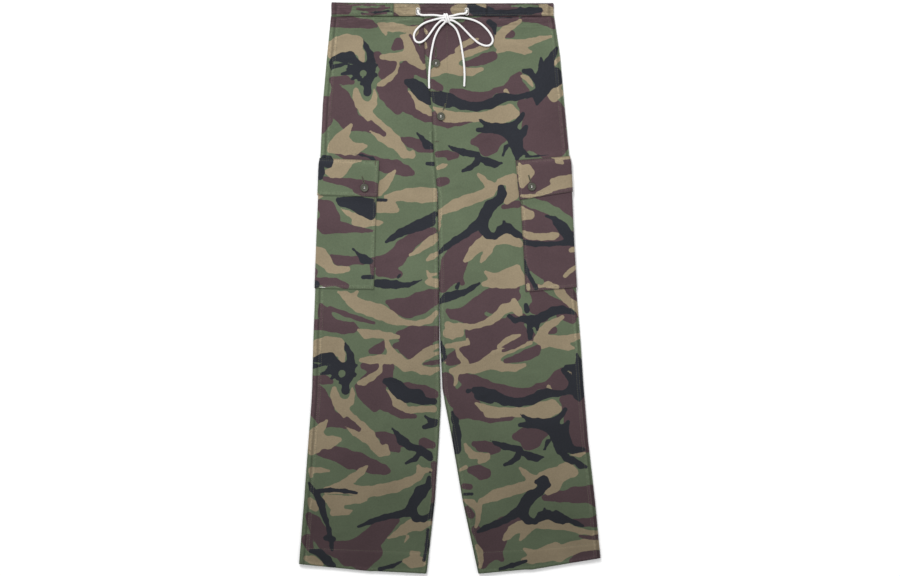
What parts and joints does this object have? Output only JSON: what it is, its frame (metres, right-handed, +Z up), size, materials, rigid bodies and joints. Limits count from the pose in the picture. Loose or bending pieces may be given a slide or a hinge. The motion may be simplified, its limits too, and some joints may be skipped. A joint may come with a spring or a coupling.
{
  "type": "cargo pants",
  "caption": "Cargo pants in woodland camouflage cloth, laid flat, with a tied drawcord waist, a buttoned fly and flapped pockets on the side seams.",
  "frame": {"origin": "on the surface it lies on, under the middle of its outline", "axes": "+X across the garment to the right as seen from above, +Y from the hems to the waist, +Z up out of the front"},
  "size_m": [0.565, 1.0704, 0.0133],
  "materials": {
    "print_cloth": "woodland camouflage print on a fine matt twill, with sewn seams",
    "button_plastic": "dull olive moulded four-hole button",
    "cord_braid": "white round braided cord, matt"
  },
  "bodies": {
    "root": {"front_left": "print_cloth", "front_right": "print_cloth", "back_left": "print_cloth", "back_right": "print_cloth", "waistband_front_left": "print_cloth", "waistband_front_centre": "print_cloth", "waistband_front_right": "print_cloth", "waistband_back": "print_cloth", "pocket_left": "print_cloth", "pocket_right": "print_cloth", "flap_left": "print_cloth", "flap_right": "print_cloth", "fly_button_top": "button_plastic", "fly_button_low": "button_plastic", "flap_button_left": "button_plastic", "flap_button_right": "button_plastic", "cord_entry_left": "cord_braid", "cord_entry_right": "cord_braid", "cord_loop_left": "cord_braid", "cord_loop_right": "cord_braid", "cord_tail_left": "cord_braid", "cord_tail_right": "cord_braid", "cord_knot": "cord_braid"}
  },
  "joints": []
}
